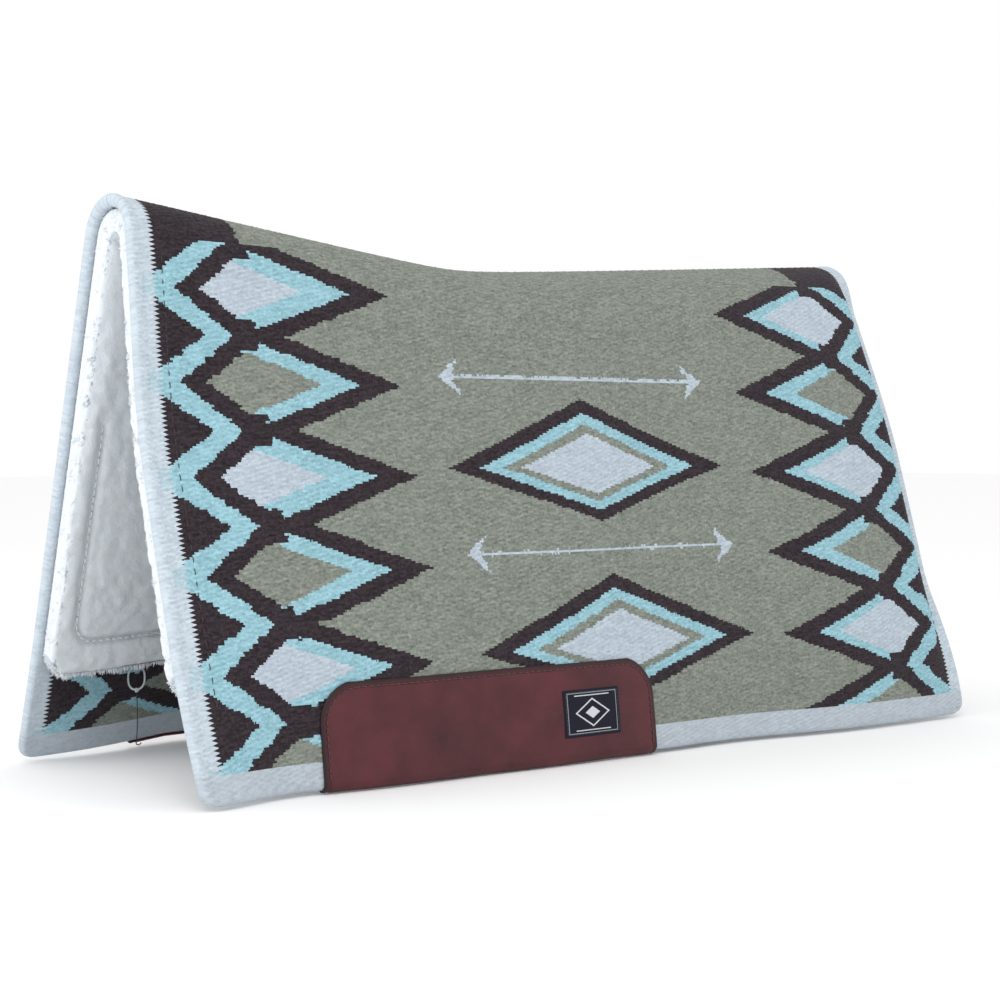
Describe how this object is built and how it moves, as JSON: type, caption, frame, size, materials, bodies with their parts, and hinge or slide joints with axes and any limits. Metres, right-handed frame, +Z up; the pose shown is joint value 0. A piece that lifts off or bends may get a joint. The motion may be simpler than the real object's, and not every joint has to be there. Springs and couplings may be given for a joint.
{
  "type": "western saddle pad",
  "caption": "Contoured western saddle pad with a patterned woven wool top, felt core, fleece liner, wear leathers and a hang loop; its two flanks fold about the ridge.",
  "frame": {"origin": "midway along the pad and midway between its hems, on the plane that the hems stand on", "axes": "+X towards the tail end, -Y the horse's left side, +Z up"},
  "size_m": [0.838, 0.357, 0.4604],
  "materials": {
    "woven_wool": "thick ribbed weft weave, sage melange ground with dark brown, turquoise and off-white figures",
    "felt": "dense grey-white pressed felt",
    "fleece": "clumped off-white wool fleece",
    "quilting_thread": "matt off-white sewing thread",
    "dark_thread": "matt dark sewing thread",
    "leather": "smooth red-brown leather, slightly polished, darker at its edges",
    "leather_thread": "waxed brown thread",
    "woven_label": "navy damask-woven label with a plain geometric motif",
    "label_thread": "fine navy thread",
    "white_cord": "thin twisted white cord"
  },
  "bodies": {
    "ridge": {"ridge_blanket": "woven_wool", "ridge_core": "felt", "ridge_liner": "fleece", "ridge_stitches": "dark_thread"},
    "left_flank": {"left_blanket": "woven_wool", "left_core": "felt", "left_liner": "fleece", "left_quilting_thread": "quilting_thread", "left_edge_stitches": "dark_thread", "left_wear_leather": "leather", "left_leather_stitches": "leather_thread", "label": "woven_label", "label_stitches": "label_thread"},
    "right_flank": {"right_blanket": "woven_wool", "right_core": "felt", "right_liner": "fleece", "right_quilting_thread": "quilting_thread", "right_edge_stitches": "dark_thread", "right_wear_leather": "leather", "right_leather_stitches": "leather_thread", "loop_tack": "white_cord"},
    "hang_loop": {"loop_cord": "white_cord", "loop_tail": "dark_thread"}
  },
  "joints": [
    {"name": "left_flank_swing", "type": "hinge", "parent": "ridge", "child": "left_flank", "pos_m": [0, -0.0125, 0.46002], "axis": [-1, 0, 0], "range_deg": [-10, 60], "stiffness_Nm_per_rad": 8},
    {"name": "right_flank_swing", "type": "hinge", "parent": "ridge", "child": "right_flank", "pos_m": [0, 0.0125, 0.46002], "axis": [1, 0, 0], "range_deg": [-10, 60], "stiffness_Nm_per_rad": 8},
    {"name": "hang_loop_swing", "type": "hinge", "parent": "right_flank", "child": "hang_loop", "pos_m": [-0.32123, 0.13003, 0.07491], "axis": [-0.9998, -0.0215, 0], "range_deg": [-10, 60]}
  ]
}
